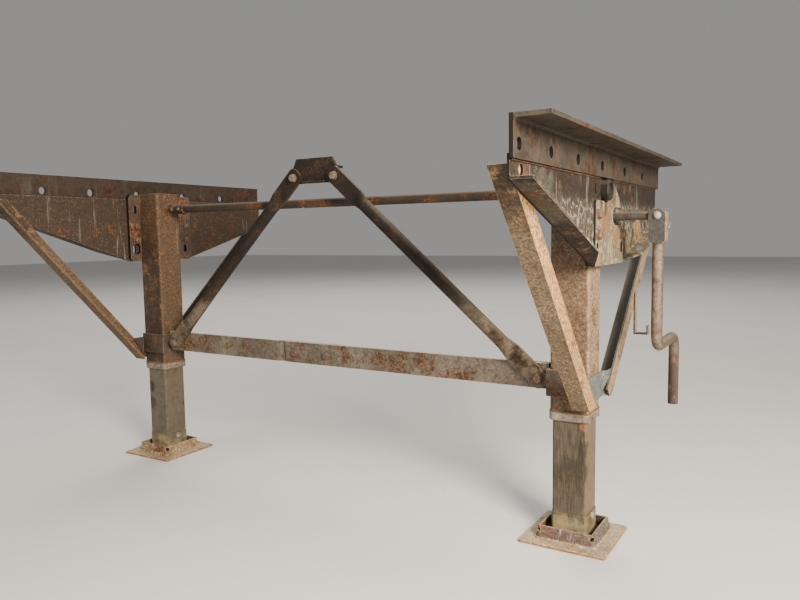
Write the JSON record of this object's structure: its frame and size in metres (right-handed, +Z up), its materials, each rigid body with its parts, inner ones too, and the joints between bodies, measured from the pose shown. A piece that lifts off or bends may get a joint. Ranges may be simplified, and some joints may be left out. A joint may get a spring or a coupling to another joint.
{
  "type": "semi trailer landing gear",
  "caption": "Crank-down parking legs with sand shoes, hung from rails and wing plates, with braces, crossbar, cross shaft and folding crank.",
  "frame": {"origin": "middle of the apex seat's top face, in the plane of the rails' top faces", "axes": "+X to the trailer's left, the crank's side; +Y to the trailer's rear; +Z up"},
  "size_m": [2.1643, 1.363, 1.1699],
  "materials": {
    "rail_steel": "worn paint, rust stains",
    "plate_paint": "peeling grey paint over rust",
    "leg_paint": "rusted paint",
    "casting": "weathered casting",
    "slide_steel": "scratched and greasy",
    "pin_steel": "dull zinc",
    "shoe_paint": "rusted paint with dirt",
    "brace_paint": "rust-speckled paint",
    "cross_paint": "dusty rusted paint",
    "shaft_steel": "dusty",
    "crank_steel": "rusted, with worn edges"
  },
  "bodies": {
    "gear_frame": {"mounting_rail_left": "rail_steel", "mounting_rail_right": "rail_steel", "wing_plate_left": "plate_paint", "wing_plate_right": "plate_paint", "leg_plate_left": "plate_paint", "leg_plate_right": "plate_paint", "clamp_plate_left": "plate_paint", "clamp_plate_right": "plate_paint", "outer_leg_left": "leg_paint", "outer_leg_right": "leg_paint", "leg_collar_left": "casting", "leg_collar_right": "casting", "inner_leg_left": "slide_steel", "inner_leg_right": "slide_steel", "foot_sleeve_left": "slide_steel", "foot_sleeve_right": "slide_steel", "foot_pin_left": "pin_steel", "foot_pin_right": "pin_steel", "sand_shoe_left": "shoe_paint", "sand_shoe_right": "shoe_paint", "leg_bracket_left": "brace_paint", "leg_bracket_right": "brace_paint", "front_brace_left": "brace_paint", "front_brace_right": "brace_paint", "rear_brace_left": "brace_paint", "rear_brace_right": "brace_paint", "cross_brace_left": "cross_paint", "cross_brace_right": "cross_paint", "crossbar_left": "cross_paint", "crossbar_right": "cross_paint", "shaft_boss_left": "shaft_steel", "shaft_boss_right": "shaft_steel", "bearing_hub_left": "casting", "bearing_hub_right": "casting", "apex_gusset": "cross_paint", "gear_case": "casting", "crank_hook": "brace_paint"},
    "cross_drive": {"cross_shaft": "shaft_steel", "leg_shaft_left": "shaft_steel", "leg_shaft_right": "shaft_steel", "shaft_coupler_left": "shaft_steel", "shaft_coupler_right": "shaft_steel"},
    "crank_shaft": {"crank_shaft": "shaft_steel"},
    "crank_handle": {"crank_clevis": "crank_steel", "crank_handle": "crank_steel", "pivot_bolt": "pin_steel"}
  },
  "joints": [
    {"name": "crank_spin", "type": "hinge", "parent": "gear_frame", "child": "crank_shaft", "pos_m": [1.091, 0.155, -0.193], "axis": [1, 0, 0], "continuous": true},
    {"name": "crank_fold", "type": "hinge", "parent": "crank_shaft", "child": "crank_handle", "pos_m": [1.091, 0.155, -0.193], "axis": [0, -1, 0], "range_deg": [0, 90]},
    {"name": "cross_shaft_spin", "type": "hinge", "parent": "gear_frame", "child": "cross_drive", "pos_m": [0, 0.045, -0.122], "axis": [1, 0, 0], "continuous": true}
  ],
  "couplings": [
    {"joint": "cross_shaft_spin", "follows": "crank_spin", "ratio": -1}
  ]
}
